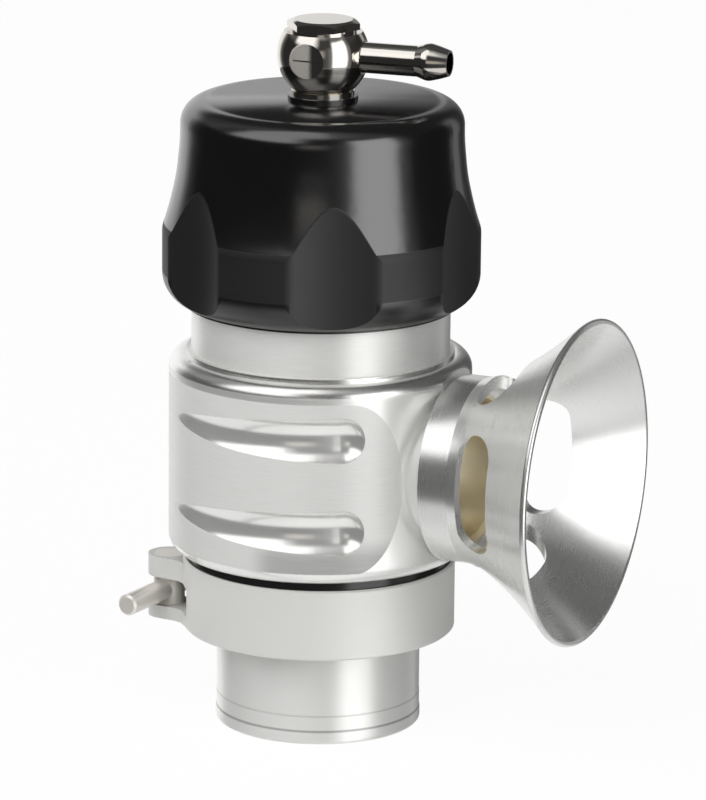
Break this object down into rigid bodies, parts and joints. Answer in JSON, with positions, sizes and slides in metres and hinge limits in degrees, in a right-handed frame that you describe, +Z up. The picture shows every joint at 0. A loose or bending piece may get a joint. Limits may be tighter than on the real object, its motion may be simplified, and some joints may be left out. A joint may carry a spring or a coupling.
{
  "type": "blow off valve",
  "caption": "Blow off valve with a screw-down fluted cap, a hose spigot in a split clamp, a swivelling vacuum fitting and a slotted trumpet outlet.",
  "frame": {"origin": "centre of the inlet spigot's open end, on the valve's axis", "axes": "+Z up along the valve's axis, from the inlet to the cap; the trumpet outlet points along +X"},
  "size_m": [0.0857, 0.0606, 0.1333],
  "materials": {
    "turned_aluminium": "finely turned",
    "satin_aluminium": "satin, bead blasted",
    "machined_aluminium": "machined, bright",
    "polished_aluminium": "turned and polished",
    "piston_aluminium": "machined",
    "black_anodised": "black anodised, gloss and satin",
    "stainless": "plain stainless",
    "spring_steel": "oiled",
    "nickel": "nickel plated",
    "brass": "machined brass",
    "seal_rubber": "moulded",
    "black_ring": "glossy",
    "guide_plastic": "plain"
  },
  "bodies": {
    "base": {"inlet_spigot": "turned_aluminium", "flange_seal": "seal_rubber", "clamp_collar": "satin_aluminium", "clamp_pin_threaded": "stainless", "clamp_pin_plain": "stainless", "clamp_screw": "stainless"},
    "valve": {"valve_body": "machined_aluminium", "collar_ring": "black_ring", "cap_seal": "seal_rubber", "outlet_sleeve": "brass", "outlet_trumpet": "polished_aluminium"},
    "piston": {"piston": "piston_aluminium", "piston_face_seal": "seal_rubber", "piston_seal": "seal_rubber", "piston_guide_ring": "guide_plastic"},
    "perch": {"spring_perch": "piston_aluminium", "valve_spring": "spring_steel"},
    "cap": {"cap": "black_anodised", "slip_washer": "guide_plastic", "banjo_bolt": "nickel", "banjo_washer_lower": "nickel", "banjo_washer_upper": "nickel"},
    "banjo": {"banjo_eye": "nickel", "banjo_plug": "nickel", "hose_nipple": "nickel"}
  },
  "joints": [
    {"name": "outlet_clocking", "type": "hinge", "parent": "base", "child": "valve", "pos_m": [0, 0, 0.0225], "axis": [0, 0, 1], "continuous": true},
    {"name": "piston_slide", "type": "slide", "parent": "valve", "child": "piston", "axis": [0, 0, 1], "range_m": [0, 0.012], "stiffness_N_per_m": 3000, "springref_m": -0.012, "deforming": ["valve_spring"]},
    {"name": "preload_travel", "type": "slide", "parent": "valve", "child": "perch", "axis": [0, 0, 1], "range_m": [-0.0061, 0.0031]},
    {"name": "cap_turn", "type": "hinge", "parent": "perch", "child": "cap", "pos_m": [0, 0, 0.08], "axis": [0, 0, 1], "range_deg": [-1440, 720]},
    {"name": "banjo_swivel", "type": "hinge", "parent": "cap", "child": "banjo", "pos_m": [0, 0, 0.12665], "axis": [0, 0, 1], "continuous": true}
  ],
  "couplings": [
    {"joint": "preload_travel", "follows": "cap_turn", "m_per_rad": 0.00023873}
  ]
}
